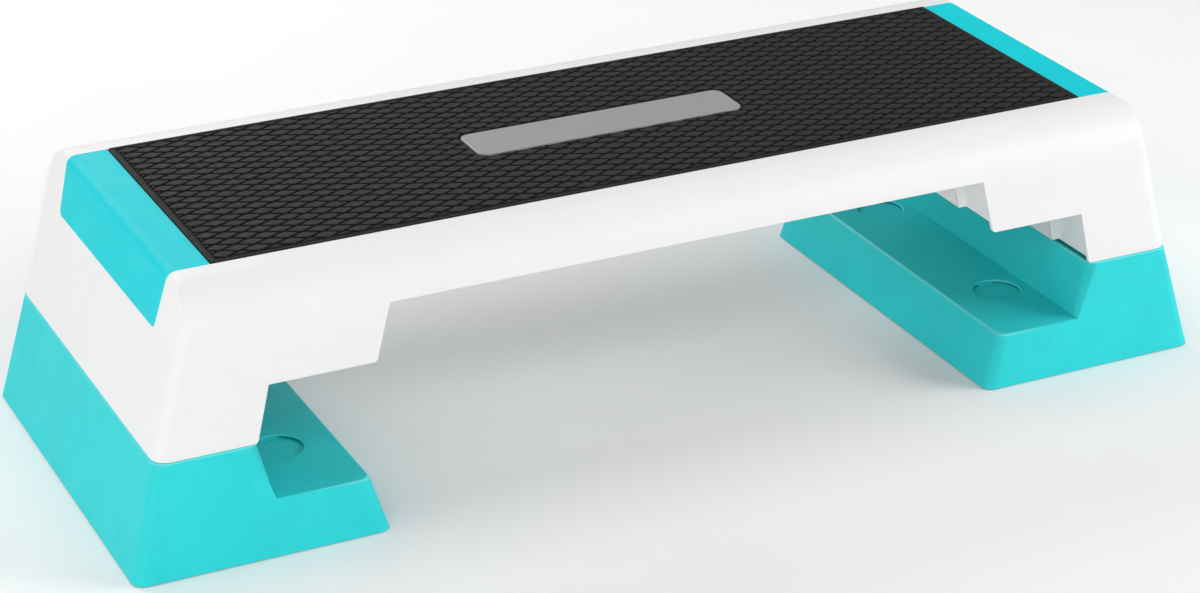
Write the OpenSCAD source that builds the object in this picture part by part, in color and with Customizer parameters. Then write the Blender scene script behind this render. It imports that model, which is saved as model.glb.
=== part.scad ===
// Aerobic step platform: a moulded deck with a rubber tread, standing on two stepped risers.
// X runs along the length, -Y is the front, Z is up. The origin is on the floor, under the centre.

/* [Overall] */
// Length over the bottom edges of the two risers
overall_l = 1080; // [1040:5:1120]
// Depth over the bottom edges of a riser
overall_w = 416; // [400:2:440]
// Height of the tread above the floor
overall_h = 257; // [253:1:262]
// Height of one level: a riser is one level high at its shelf and two at its top
level_h = 53.5; // [52:0.5:54]

/* [Deck] */
// Length of the deck where it meets the risers
deck_l = 1024; // [1016:1:1028]
// Depth of the deck
deck_w = 395; // [388:1:400]
// Horizontal lean of the deck's ends for each unit of height
end_draft = 0.265; // [0.24:0.005:0.3]
// Radius of the long top edges
side_round = 45; // [38:1:46]
// Radius of the top edges at the ends
end_round = 10; // [8:1:18]
// Radius of the upright corners
corner_round = 15; // [10:1:18]
// Wall thickness of the deck
deck_wall = 4; // [3.5:0.1:5]
// Thickness of the stiffening ribs
rib_t = 2.2; // [1.8:0.1:3]

/* [Tread] */
// Length of the rubber tread
mat_l = 870; // [860:2:880]
// Depth of the rubber tread
mat_w = 286; // [276:2:300]
// Thickness of the rubber tread
mat_t = 4; // [3:0.5:5]
// Height that the tread stands above the deck
mat_proud = 1.5; // [0.5:0.5:2]
// Length of the plate in the middle of the tread
plate_l = 272; // [200:2:300]
// Depth of the plate in the middle of the tread
plate_w = 54; // [40:2:70]

/* [End caps] */
// Thickness of the coloured end caps
cap_t = 2; // [1.5:0.1:2.2]
// Height of the end caps' lower edge above the floor
cap_bottom_z = 203; // [195:1:215]

/* [Risers] */
// Length of a riser along the floor
riser_l = 235; // [228:1:242]
// Wall thickness of the risers
riser_wall = 3; // [2.5:0.1:4]
// Radius of the risers' upright corners
riser_round = 12; // [8:1:14]
// Diameter of the round recesses that take the deck's feet
recess_d = 44; // [43.5:0.5:46]
// Depth of the round recesses
recess_depth = 4.3; // [4:0.1:5]
// Distance of the recesses from the middle of the depth
recess_y = 112; // [100:1:120]

/* [Feet] */
// Diameter of the deck's rubber feet
deck_foot_d = 42; // [38:0.5:42]
// Diameter of the risers' rubber feet
riser_foot_d = 28; // [20:1:30]
// Height that the risers' feet stand below the rim
rim_lift = 1; // [0.5:0.5:2]

/* [Hidden] */
$fn = 64;

white = [0.95, 0.95, 0.95];
teal = [0.15, 0.80, 0.83];
rubber = [0.10, 0.10, 0.10];
plate_grey = [0.60, 0.60, 0.60];

// Heights
riser_h = 2 * level_h;
inner_step_z = 3 * level_h;
skirt_z = 4 * level_h;
seam_gap = 0.3;
leg_z = riser_h + seam_gap;
deck_top_z = overall_h - mat_proud;
mat_floor_z = overall_h - mat_t;
top_plate_t = 3;
plate_underside_z = mat_floor_z - top_plate_t;

// The stepped lower edge of the deck's front and rear walls
leg_inner_x = 420.5;
step_outer_x = 408;
step_inner_x = 309.5;
skirt_x = 296;
step_draft = (leg_inner_x - step_outer_x) / level_h;
skirt_draft = (step_inner_x - skirt_x) / level_h;

// Cross walls: the sides lie behind the stepped edge and the middle in front of it
wall_back = 1.5;
wall_forward = 6.5;
leg_wall_z = leg_z + 5;
box_wall_z = inner_step_z + 9.5;
leg_wall_mid = 144;
box_wall_mid = 150;
deck_rib_z = skirt_z + 10;
rib_pitch_x = 60;
rib_pitch_y = 48;
ribs_along = [-3:3];
ribs_across = [-7:7];

// Riser, in plan and elevation
riser_out_x = overall_l / 2;
riser_in_x = riser_out_x - riser_l;
riser_in_draft = 0.3;
riser_side_draft = (overall_w - deck_w) / 2 / riser_h;
shelf_fillet = 3;

// End caps
cap_taper = 7;
cap_round = 5;
cap_pegs = [-100, 0, 100];
cap_peg_d = 6;
cap_peg_x = mat_l / 2 + 14;
cap_peg_z = plate_underside_z - 2;

// Feet: the deck's foot is as far from its leg's inner edge as the shelf's recess is from the
// step, so that a riser turned end for end takes the deck one level lower
shelf_recess_x = 374;
deck_foot_x = leg_inner_x + step_outer_x - shelf_recess_x;
boss_wall = 2.5;
boss_z = leg_z + 4;
stem_clear = 0.2;
stem_l = 14;
riser_foot_out_x = 508;
riser_foot_in_x = 330;
riser_foot_y = 172;
riser_boss_z = 8;
riser_rib_h = 21;
riser_rib_pitch = 60;
riser_ribs_across = [-2.5:2.5];

// The round recesses of a riser: two in its shelf and two in its top
recesses = [
    for (p = [[shelf_recess_x, level_h], [deck_foot_x, riser_h]], sy = [-1, 1])
        [p[0], sy * recess_y, p[1]]
];

// Plate in the tread
plate_round = 10;
plate_pocket = 2;

// Clearance round loose pieces, and how far shapes reach into or past each other
clear = 0.2;
overlap = 1;
beyond = 20;

// Ring of points of a rounded rectangle, at height z
function ring(x0, x1, half_y, r, z, n = 8) = [
    for (q = [0:3], i = [0:n])
        let (
            a = 90 * (q + i / n),
            cx = (q == 0 || q == 3) ? x1 - r : x0 + r,
            cy = (q < 2) ? half_y - r : r - half_y
        )
        [cx + r * cos(a), cy + r * sin(a), z]
];

// Block with rounded upright corners between a lower and an upper outline: [x0, x1, half_y]
module tapered_block(low, high, z0, z1, r) {
    a = ring(low[0], low[1], low[2], r, z0);
    b = ring(high[0], high[1], high[2], r, z1);
    n = len(a);
    polyhedron(
        points = concat(a, b),
        faces = concat(
            [[for (i = [0:n - 1]) i]],
            [[for (i = [n - 1:-1:0]) n + i]],
            [for (i = [0:n - 1]) [i, n + i, n + (i + 1) % n, (i + 1) % n]]
        )
    );
}

// Carries an outline drawn as [x, z] along Y, and one drawn as [y, z] along X
module along_y(half) {
    translate([0, half, 0]) rotate([90, 0, 0]) linear_extrude(2 * half) children();
}
module along_x(half) {
    translate([-half, 0, 0]) rotate([90, 0, 90]) linear_extrude(2 * half) children();
}

// Half length of the deck at height z, drawn in by an inset
function end_x(z, inset = 0) =
    deck_l / 2 - end_draft * (z - riser_h) - inset * sqrt(1 + end_draft * end_draft);

// End elevation of the deck: upright sides and large round top edges
module side_profile(inset, z0) {
    half = deck_w / 2 - inset;
    top = deck_top_z - inset;
    r = side_round - inset;
    translate([-half, z0]) square([2 * half, top - r - z0]);
    translate([r - half, z0]) square([2 * (half - r), top - z0]);
    for (s = [-1, 1]) translate([s * (half - r), top - r]) circle(r);
}

// Front elevation of the deck: leaning ends and round top edges
module end_profile(inset, z0) {
    top = deck_top_z - inset;
    r = end_round - inset;
    lean = atan(end_draft);
    cx = end_x(top - r, inset) - r / cos(lean);
    tx = cx + r * cos(lean);
    tz = top - r + r * sin(lean);
    x0 = end_x(z0, inset);
    polygon([[-x0, z0], [x0, z0], [tx, tz], [cx, top], [-cx, top], [-tx, tz]]);
    for (s = [-1, 1]) translate([s * cx, top - r]) circle(r);
}

// The deck as a full block, drawn in by an inset and closed at z0
module deck_block(inset, z0) {
    half_y = deck_w / 2 - inset;
    intersection() {
        tapered_block(
            [-end_x(z0, inset), end_x(z0, inset), half_y],
            [-end_x(overall_h, inset), end_x(overall_h, inset), half_y],
            z0, overall_h, corner_round - inset
        );
        along_x(overall_l / 2) side_profile(inset, z0 - overlap);
        along_y(overall_w / 2) end_profile(inset, z0 - overlap);
    }
}

// All that lies under the stepped lower edge of the front and rear walls
module step_cut() {
    z0 = riser_h - beyond;
    along_y(overall_w)
        polygon([
            [-leg_inner_x, z0], [-leg_inner_x, riser_h], [-step_outer_x, inner_step_z],
            [-step_inner_x, inner_step_z], [-skirt_x, skirt_z],
            [skirt_x, skirt_z], [step_inner_x, inner_step_z],
            [step_outer_x, inner_step_z], [leg_inner_x, riser_h], [leg_inner_x, z0]
        ]);
}

// Leaning plate across the deck: its face is at x where z is zref
module leaning_wall(x, zref, draft, z0, z1, y0, y1, t = rib_t) {
    translate([0, y1, 0]) rotate([90, 0, 0]) linear_extrude(y1 - y0)
        polygon([
            [x - draft * (z0 - zref), z0], [x - draft * (z0 - zref) + t, z0],
            [x - draft * (z1 - zref) + t, z1], [x - draft * (z1 - zref), z1]
        ]);
}

// Cross wall that closes an end box, with its middle set forward from its sides
module cross_wall(x, zref, draft, z0, half_mid) {
    top = mat_floor_z;
    side = deck_w / 2;
    depth = wall_forward + wall_back + rib_t;
    leaning_wall(x + wall_back, zref, draft, z0, top, -side, -half_mid);
    leaning_wall(x + wall_back, zref, draft, z0, top, half_mid, side);
    leaning_wall(x - wall_forward, zref, draft, z0, top, -half_mid, half_mid);
    for (s = [-1, 1])
        leaning_wall(
            x - wall_forward, zref, draft, z0, top,
            s * half_mid - rib_t / 2, s * half_mid + rib_t / 2, depth
        );
}

// Ribs along and across the deck, under its top
module deck_ribs() {
    rib_h = mat_floor_z - overlap - deck_rib_z;
    for (k = ribs_along)
        translate([-deck_l / 2, k * rib_pitch_y - rib_t / 2, deck_rib_z])
            cube([deck_l, rib_t, rib_h]);
    for (k = ribs_across)
        translate([k * rib_pitch_x - rib_t / 2, -deck_w / 2, deck_rib_z])
            cube([rib_t, deck_w, rib_h]);
}

module foot_bosses() {
    for (sx = [-1, 1], sy = [-1, 1])
        translate([sx * deck_foot_x, sy * recess_y, boss_z])
            cylinder(d = deck_foot_d, h = plate_underside_z + overlap - boss_z);
}

module foot_boss_bores() {
    for (sx = [-1, 1], sy = [-1, 1])
        translate([sx * deck_foot_x, sy * recess_y, leg_z - overlap])
            cylinder(d = deck_foot_d - 2 * boss_wall, h = plate_underside_z - leg_z + overlap);
}

// Space that an end cap fills, grown by a clearance
module cap_region(grow) {
    top_half = mat_w / 2 + grow;
    low_half = top_half - cap_taper;
    z0 = cap_bottom_z - grow;
    r = cap_round;
    x0 = mat_l / 2 - grow;
    translate([x0, 0, 0]) rotate([90, 0, 90]) linear_extrude(deck_l / 2 - x0) {
        polygon([
            [r - low_half, z0], [low_half - r, z0], [low_half, z0 + r],
            [top_half, overall_h], [-top_half, overall_h], [-low_half, z0 + r]
        ]);
        for (s = [-1, 1]) translate([s * (low_half - r), z0 + r]) circle(r);
    }
}

module deck_shell() {
    color(white)
    difference() {
        union() {
            difference() {
                deck_block(0, leg_z);
                intersection() {
                    deck_block(deck_wall, leg_z - beyond);
                    translate([0, 0, plate_underside_z - overall_h])
                        cube([2 * overall_l, 2 * overall_w, 2 * overall_h], center = true);
                }
                step_cut();
            }
            intersection() {
                deck_block(deck_wall / 2 + cap_t / 2, leg_z);
                union() {
                    deck_ribs();
                    foot_bosses();
                    for (s = [0, 1]) mirror([s, 0, 0]) {
                        cross_wall(leg_inner_x, riser_h, step_draft, leg_wall_z, leg_wall_mid);
                        cross_wall(step_inner_x, inner_step_z, skirt_draft, box_wall_z, box_wall_mid);
                    }
                }
            }
        }
        foot_boss_bores();
        translate([-mat_l / 2, -mat_w / 2, mat_floor_z]) cube([mat_l, mat_w, mat_t]);
        for (s = [0, 1]) mirror([s, 0, 0]) {
            difference() {
                cap_region(0);
                deck_block(cap_t, leg_z);
            }
            for (y = cap_pegs)
                translate([cap_peg_x, y, cap_peg_z - overlap])
                    cylinder(d = cap_peg_d + 2 * clear, h = beyond);
        }
    }
}

module tread_mat() {
    color(rubber)
    difference() {
        translate([clear - mat_l / 2, clear - mat_w / 2, mat_floor_z])
            cube([mat_l - 2 * clear, mat_w - 2 * clear, mat_t]);
        centre_plate_block(0, plate_pocket);
    }
}

// Rounded rectangular plate in the middle of the tread, drawn in by a clearance
module centre_plate_block(inset, t) {
    r = plate_round - inset;
    x = plate_l / 2 - inset;
    y = plate_w / 2 - inset;
    translate([0, 0, overall_h - plate_pocket]) {
        translate([-x, r - y, 0]) cube([2 * x, 2 * (y - r), t]);
        translate([r - x, -y, 0]) cube([2 * (x - r), 2 * y, t]);
        for (sx = [-1, 1], sy = [-1, 1])
            translate([sx * (x - r), sy * (y - r), 0]) cylinder(r = r, h = t);
    }
}

module centre_plate() {
    color(plate_grey) centre_plate_block(clear, plate_pocket - clear);
}

// The end cap on the +X end: one skin over the top and down the end, with three pegs
module end_cap() {
    color(teal) {
        difference() {
            intersection() {
                deck_block(0, leg_z);
                cap_region(-clear);
            }
            deck_block(cap_t, leg_z - overlap);
        }
        for (y = cap_pegs)
            translate([cap_peg_x, y, cap_peg_z])
                cylinder(d = cap_peg_d, h = deck_top_z - cap_t / 2 - cap_peg_z);
    }
}

// A foot of the deck: a disc that drops into a recess, and a stem in the boss above
module deck_foot(sx, sy) {
    z0 = riser_h - recess_depth;
    color(rubber)
    translate([sx * deck_foot_x, sy * recess_y, 0]) {
        translate([0, 0, z0]) cylinder(d = deck_foot_d, h = boss_z - z0);
        translate([0, 0, boss_z - overlap])
            cylinder(d = deck_foot_d - 2 * (boss_wall + stem_clear), h = stem_l);
    }
}

// Outer form of the riser on the +X side, drawn in by an inset
module riser_block(inset, z0, z1) {
    function half_y(z) = overall_w / 2 - riser_side_draft * (z - rim_lift) - inset;
    lean = sqrt(1 + end_draft * end_draft);
    function out_x(z) = riser_out_x - end_draft * (z - rim_lift) - inset * lean;
    function in_x(z) = riser_in_x + riser_in_draft * (z - rim_lift) + inset * lean;
    tapered_block(
        [in_x(z0), out_x(z0), half_y(z0)], [in_x(z1), out_x(z1), half_y(z1)],
        z0, z1, riser_round - inset
    );
}

// The space above the shelf, up to the leaning face of the step, grown by an offset
module shelf_space(grow) {
    z0 = level_h - grow;
    x0 = step_outer_x + grow;
    r = shelf_fillet + grow;
    lean = atan(step_draft);
    cx = x0 - r * (1 - sin(lean)) / cos(lean);
    along_y(overall_w) {
        difference() {
            polygon([
                [riser_in_x - beyond, z0], [x0, z0],
                [x0 + step_draft * riser_h, z0 + riser_h], [riser_in_x - beyond, z0 + riser_h]
            ]);
            difference() {
                translate([cx, z0 - overlap]) square([2 * r, r * (1 - sin(lean)) + overlap]);
                translate([cx, z0 + r]) circle(r);
            }
        }
    }
}

riser_feet = [
    for (x = [riser_foot_out_x, riser_foot_in_x], sy = [-1, 1]) [x, sy * riser_foot_y]
];

// Ribs under the shelf and under the top, which follow the step, and the bosses of the feet
module riser_ribs() {
    low_z = level_h - riser_rib_h;
    high_z = riser_h - riser_rib_h;
    face_x = step_outer_x + riser_wall / 2;
    for (k = riser_ribs_across)
        translate([0, k * riser_rib_pitch, 0]) along_y(rib_t / 2)
            polygon([
                [riser_in_x, low_z], [face_x, low_z],
                [face_x + step_draft * (high_z - level_h), high_z], [riser_out_x, high_z],
                [riser_out_x, riser_h], [riser_in_x, riser_h]
            ]);
    for (p = [[shelf_recess_x, low_z], [deck_foot_x, high_z]])
        translate([p[0] - rib_t / 2, -overall_w / 2, p[1]]) cube([rib_t, overall_w, riser_h]);
    for (p = riser_feet)
        translate([p[0], p[1], riser_boss_z])
            cylinder(d = riser_foot_d, h = riser_h);
}

// The cups under the round recesses
module recess_cups() {
    for (p = recesses)
        translate([p[0], p[1], p[2] - recess_depth - riser_wall])
            cylinder(d = recess_d + 2 * riser_wall, h = recess_depth + riser_wall);
}

module riser() {
    color(teal)
    difference() {
        union() {
            difference() {
                riser_block(0, rim_lift, riser_h);
                shelf_space(0);
                difference() {
                    riser_block(riser_wall, rim_lift - overlap, riser_h - riser_wall);
                    shelf_space(riser_wall);
                }
            }
            difference() {
                intersection() {
                    riser_block(riser_wall / 2, rim_lift, riser_h - riser_wall / 2);
                    union() {
                        riser_ribs();
                        recess_cups();
                    }
                }
                shelf_space(riser_wall / 2);
            }
        }
        for (p = recesses)
            translate([p[0], p[1], p[2] - recess_depth]) cylinder(d = recess_d, h = beyond);
        for (p = riser_feet)
            translate([p[0], p[1], -overlap])
                cylinder(d = riser_foot_d - 2 * boss_wall, h = riser_boss_z + stem_l + 2 * overlap);
    }
}

// A foot of a riser: a disc on the floor and a stem in the boss above
module riser_foot(sx, end, sy) {
    x = (end == "outer") ? riser_foot_out_x : riser_foot_in_x;
    color(rubber)
    translate([sx * x, sy * riser_foot_y, 0]) {
        cylinder(d = riser_foot_d, h = riser_boss_z);
        cylinder(d = riser_foot_d - 2 * (boss_wall + stem_clear), h = riser_boss_z + stem_l);
    }
}

deck_shell();
tread_mat();
centre_plate();
mirror([1, 0, 0]) end_cap();  // end_cap_left
end_cap();  // end_cap_right
deck_foot(-1, -1);  // deck_foot_left_front
deck_foot(-1, 1);  // deck_foot_left_rear
deck_foot(1, -1);  // deck_foot_right_front
deck_foot(1, 1);  // deck_foot_right_rear
mirror([1, 0, 0]) riser();  // riser_left
riser();  // riser_right
riser_foot(-1, "outer", -1);  // riser_foot_left_outer_front
riser_foot(-1, "outer", 1);  // riser_foot_left_outer_rear
riser_foot(-1, "inner", -1);  // riser_foot_left_inner_front
riser_foot(-1, "inner", 1);  // riser_foot_left_inner_rear
riser_foot(1, "outer", -1);  // riser_foot_right_outer_front
riser_foot(1, "outer", 1);  // riser_foot_right_outer_rear
riser_foot(1, "inner", -1);  // riser_foot_right_inner_front
riser_foot(1, "inner", 1);  // riser_foot_right_inner_rear
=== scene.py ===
import math
import random

import bpy
import bmesh
from mathutils import Matrix, Vector


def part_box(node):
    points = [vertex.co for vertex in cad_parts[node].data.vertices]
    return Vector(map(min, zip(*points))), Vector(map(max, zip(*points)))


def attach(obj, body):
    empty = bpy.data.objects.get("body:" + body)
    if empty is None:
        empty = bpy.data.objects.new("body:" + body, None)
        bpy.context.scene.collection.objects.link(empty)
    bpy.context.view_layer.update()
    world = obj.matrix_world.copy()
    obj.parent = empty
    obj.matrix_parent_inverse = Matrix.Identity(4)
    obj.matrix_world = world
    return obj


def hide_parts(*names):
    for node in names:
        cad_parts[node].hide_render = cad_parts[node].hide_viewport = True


# An aerobic step platform. Outlines are drawn in millimetres in the frame's own axes
# (X along the length, -Y to the front, Z up) and become metres when an object is made.
MM = 0.001

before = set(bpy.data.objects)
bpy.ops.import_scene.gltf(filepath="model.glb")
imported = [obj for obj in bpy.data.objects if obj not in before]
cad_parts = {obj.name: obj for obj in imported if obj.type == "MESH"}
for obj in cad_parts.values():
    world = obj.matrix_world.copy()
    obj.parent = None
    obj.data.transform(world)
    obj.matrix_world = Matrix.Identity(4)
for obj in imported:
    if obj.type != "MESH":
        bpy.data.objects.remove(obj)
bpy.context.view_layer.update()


def node_box(node):
    """Lowest and highest corner of a CAD node, in millimetres."""
    low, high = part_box(node)
    return [c / MM for c in low], [c / MM for c in high]


def round_node(node):
    """Middle x, middle y and radius of a round CAD node, in millimetres."""
    low, high = node_box(node)
    return (low[0] + high[0]) / 2, (low[1] + high[1]) / 2, (high[0] - low[0]) / 2


# ------------ sizes

deck_low, deck_high = node_box("deck_shell")
mat_low, mat_high = node_box("tread_mat")
plate_low, plate_high = node_box("centre_plate")
cap_low, cap_high = node_box("end_cap_right")
riser_low, riser_high = node_box("riser_right")

LEG_Z = deck_low[2]            # lower edge of the deck's legs
DECK_TOP = deck_high[2]        # white border of the top
DECK_X = deck_high[0]          # half length at the lower edge
DECK_Y = deck_high[1]          # half depth
TREAD_TOP = mat_high[2]
RISER_TOP = riser_high[2]
RIM_Z = riser_low[2]           # lower rim of the risers
LEVEL = RISER_TOP / 2          # height of one level

END_DRAFT = 0.265              # lean of the ends for each unit of height
LEAN = math.atan(END_DRAFT)
SIDE_R = 45.0                  # long top edges
END_R = 10.0                   # top edges at the ends
CORNER_R = 15.0                # upright corners, at their foot
CORNER_R_TOP = 5.0             # and where they reach the top
WALL = 4.0
EDGE_R = 0.6                   # rounding of the deck's lower edges
SEAM = 0.2                     # half of the gap round a cap and round the tread
END_CENTRE_X = DECK_X - END_DRAFT * (DECK_TOP - END_R - LEG_Z) - END_R / math.cos(LEAN)
TOP_DROP = 5.5                 # underside of the top border, below the top
WINDOW_RIM = 0.4               # rounding round the openings for the tread and the caps

LEG_INNER_X = 420.5            # stepped edge of the front and rear walls
STEP_OUTER_X = 408.0
STEP_INNER_X = 309.5
SKIRT_X = 296.0
STEP_Z = 3 * LEVEL
SKIRT_Z = 4 * LEVEL
LEG_CORNER_R = 2.0
STEP_CORNER_R = 3.0

CAP_LOW_Z = cap_low[2] - SEAM
CAP_LOW_Y = mat_high[1] - 7
CAP_TOP_Y = mat_high[1] + SEAM
CAP_ROUND = 5.0
CAP_RIM = 0.4                  # rounding of a cap's border
CAP_T = 2.2

LOZENGE_L = 31.1               # pitch of the tread along the deck
LOZENGE_W = 14.43              # and across it
GROOVE = 2.6
GROOVE_DEPTH = 1.9
TREAD_BORDER = 7.0
MAT_R = 3.0                    # corners of the tread
PLATE_R = 10.0                 # corners of the plate


# ------------ mesh building

TURN_STEPS = 48                # points round a circle
BOSS_WALL = 2.5                # of the bosses that hold the feet


def circle(centre, r, z):
    turn = [2 * math.pi * k / TURN_STEPS for k in range(TURN_STEPS)]
    return [(centre[0] + r * math.cos(a), centre[1] + r * math.sin(a), z) for a in turn]


class Surface:
    """Collects points in millimetres and faces, and makes one object of them."""

    def __init__(self):
        self.points = []
        self.faces = []

    def add(self, points):
        start = len(self.points)
        self.points.extend(tuple(float(c) for c in p) for p in points)
        return list(range(start, len(self.points)))

    def skin(self, rows, closed=False):
        """Quads between rows of indices; closed joins each row's last point to its first."""
        for a, b in zip(rows, rows[1:]):
            n = len(a)
            for i in range(n if closed else n - 1):
                j = (i + 1) % n
                self.quad(a[i], a[j], b[j], b[i])

    def quad(self, *corners):
        distinct = []
        for c in corners:
            if c is not None and c not in distinct:
                distinct.append(c)
        if len(distinct) > 2:
            self.faces.append(tuple(distinct))

    def box(self, low, high):
        x, y, z = zip(low, high)
        i = self.add([(x[a], y[b], z[c]) for a in (0, 1) for b in (0, 1) for c in (0, 1)])
        for f in ((0, 1, 3, 2), (4, 6, 7, 5), (0, 4, 5, 1), (2, 3, 7, 6), (0, 2, 6, 4), (1, 5, 7, 3)):
            self.faces.append(tuple(i[k] for k in f))

    def prism(self, outline, direction, length):
        """Solid made by carrying an outline of points along a direction."""
        d = Vector(direction) * length
        a = self.add(outline)
        b = self.add([Vector(p) + d for p in outline])
        self.skin([a, b], closed=True)
        self.faces.append(tuple(a))
        self.faces.append(tuple(reversed(b)))

    def stack(self, rows):
        """Solid through closed rows of points, with a face on its first and its last row."""
        rows = [self.add(row) for row in rows]
        self.skin(rows, closed=True)
        self.faces.append(tuple(rows[-1]))
        self.faces.append(tuple(reversed(rows[0])))

    def lathe(self, profile, centre):
        """Solid of revolution about Z from (radius, height) pairs, closed at both ends."""
        rings = []
        for r, z in profile:
            if r == 0:
                rings.append(self.add([(centre[0], centre[1], centre[2] + z)]) * TURN_STEPS)
            else:
                rings.append(self.add(circle(centre, r, centre[2] + z)))
        self.skin(rings, closed=True)

    def boss(self, centre, r, z0, z1, bore, limit):
        """Round boss with a blind bore, kept inside x limits that depend on the height."""
        levels = spread(0.4, z1 - z0, 8)
        hole = r - BOSS_WALL
        profile = [(hole, 0), (r - 0.4, 0)] + [(r, z) for z in levels]
        profile += [(0, z1 - z0), (0, bore), (hole, bore), (hole, 0)]
        start = len(self.points)
        self.lathe(profile, (centre[0], centre[1], z0))
        for k in range(start, len(self.points)):
            x, y, z = self.points[k]
            low, high = limit(z)
            self.points[k] = (min(max(x, low), high), y, z)

    def bm(self, weld=0.002):
        mesh = bmesh.new()
        verts = [mesh.verts.new(p) for p in self.points]
        mesh.verts.ensure_lookup_table()
        for f in self.faces:
            try:
                mesh.faces.new([verts[i] for i in f])
            except ValueError:
                pass
        bmesh.ops.remove_doubles(mesh, verts=mesh.verts, dist=weld)
        bmesh.ops.dissolve_degenerate(mesh, dist=weld / 2, edges=mesh.edges)
        loose = [v for v in mesh.verts if not v.link_faces]
        bmesh.ops.delete(mesh, geom=loose, context="VERTS")
        return mesh


def make_object(name, mesh, body, material, replaces):
    """One piece from a bmesh in millimetres: metres, outward normals, material, body."""
    bmesh.ops.recalc_face_normals(mesh, faces=mesh.faces)
    bmesh.ops.scale(mesh, vec=(MM, MM, MM), verts=mesh.verts)
    data = bpy.data.meshes.new(name)
    mesh.to_mesh(data)
    mesh.free()
    data.polygons.foreach_set("use_smooth", [True] * len(data.polygons))
    data.materials.append(material)
    obj = bpy.data.objects.new(name, data)
    bpy.context.scene.collection.objects.link(obj)
    data.set_sharp_from_angle(angle=math.radians(50))
    normals = obj.modifiers.new("normals", "WEIGHTED_NORMAL")
    normals.mode = "FACE_AREA"
    normals.weight = 100
    normals.keep_sharp = True
    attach(obj, body)
    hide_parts(*replaces)
    return obj


def fill(mesh, loops):
    """Level face inside the first loop of verts and outside the others."""
    edges = []
    for loop in loops:
        for a, b in zip(loop, loop[1:] + loop[:1]):
            edges.append(mesh.edges.get((a, b)) or mesh.edges.new((a, b)))
    bmesh.ops.triangle_fill(mesh, use_beauty=True, edges=edges, normal=(0, 0, 1))


def corner_places(r, n):
    """Places along the side of a square that round_corner carries to even steps of its arc."""
    return [r * (1 - math.sqrt(2) * math.sin(math.radians(45) * k / n)) for k in range(n, -1, -1)]


def round_corner(u, v, r):
    """Carries the square (0..r, 0..r) onto the same square with its corner at (0, 0) rounded."""
    if u >= r or v >= r:
        return u, v
    a, b = 1 - max(u, 0) / r, 1 - max(v, 0) / r
    return (r * (1 - a * math.sqrt(1 - b * b / 2)), r * (1 - b * math.sqrt(1 - a * a / 2)))


def spread(a, b, n):
    return [a + (b - a) * k / n for k in range(n + 1)]


# ------------ the deck's outer form

def half_length(z, inset=0.0, top=DECK_TOP):
    """Half length of the deck at height z, drawn in by an inset."""
    r = END_R - inset
    tangent_z = top - r + r * math.sin(LEAN)
    straight = DECK_X - END_DRAFT * (z - LEG_Z) - inset / math.cos(LEAN)
    if z <= tangent_z:
        return straight
    centre = DECK_X - END_DRAFT * (top - r - LEG_Z) - inset / math.cos(LEAN) - r / math.cos(LEAN)
    rise = min(z - (top - r), r)
    return centre + math.sqrt(max(r * r - rise * rise, 0))


def half_depth(z, inset=0.0, top=DECK_TOP):
    r = SIDE_R - inset
    if z <= top - r:
        return DECK_Y - inset
    rise = min(z - (top - r), r)
    return DECK_Y - inset - r + math.sqrt(max(r * r - rise * rise, 0))


def corner_radius(z, inset=0.0, top=DECK_TOP):
    t = min(max((z - (top - SIDE_R)) / SIDE_R, 0), 1)
    t = t * t * (3 - 2 * t)
    return CORNER_R + (CORNER_R_TOP - CORNER_R) * t - inset * 0.6


def cap_side(z):
    """Half width of the end cap's outline at height z."""
    rise = max(z - CAP_LOW_Z, 0)
    return CAP_LOW_Y + (CAP_TOP_Y - CAP_LOW_Y) * rise / (TREAD_TOP - CAP_LOW_Z)


def leg_edge(z):
    return STEP_OUTER_X + (LEG_INNER_X - STEP_OUTER_X) * min(max((STEP_Z - z) / LEVEL, 0), 1)


def skirt_edge(z):
    return SKIRT_X + (STEP_INNER_X - SKIRT_X) * min(max((SKIRT_Z - z) / LEVEL, 0), 1)


# heights between which each stepped edge runs, the radius of its lower corner, its place
LOW_CORNERS = {"step": (STEP_Z, SKIRT_Z, STEP_CORNER_R, skirt_edge),
               "leg": (LEG_Z, STEP_Z, LEG_CORNER_R, leg_edge)}


def deck_rows():
    """Heights of the rows of the deck's skin, and the rows at which each zone begins."""
    leg0 = LEG_Z + EDGE_R
    step0 = STEP_Z + EDGE_R
    skirt0 = SKIRT_Z + EDGE_R
    cap0 = CAP_LOW_Z - SEAM
    rows = [leg0 + c for c in corner_places(LEG_CORNER_R, 5)]
    rows += spread(rows[-1], step0, 6)[1:]
    step_row = len(rows) - 1
    rows += [step0 + c for c in corner_places(STEP_CORNER_R, 6)][1:]
    rows += spread(rows[-1], cap0, 4)[1:]
    cap_row = len(rows) - 1
    rows += [cap0 + c for c in corner_places(CAP_ROUND, 5)][1:]
    rows += [DECK_TOP - SIDE_R]
    rows += [skirt0]
    skirt_row = len(rows) - 1
    side = [DECK_TOP - SIDE_R + SIDE_R * math.sin(math.radians(a)) for a in range(10, 86, 5)]
    end_a = [math.degrees(LEAN) + k * 8.2 for k in range(10)]
    end = [DECK_TOP - END_R + END_R * math.sin(math.radians(a)) for a in end_a]
    upper = sorted(z for z in side + end if z > skirt0 + 1)
    kept = []
    for z in upper + [DECK_TOP]:
        if not kept or z - kept[-1] > 0.25:
            kept.append(z)
    kept[-1] = DECK_TOP
    return rows + kept, step_row, cap_row, skirt_row


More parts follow.
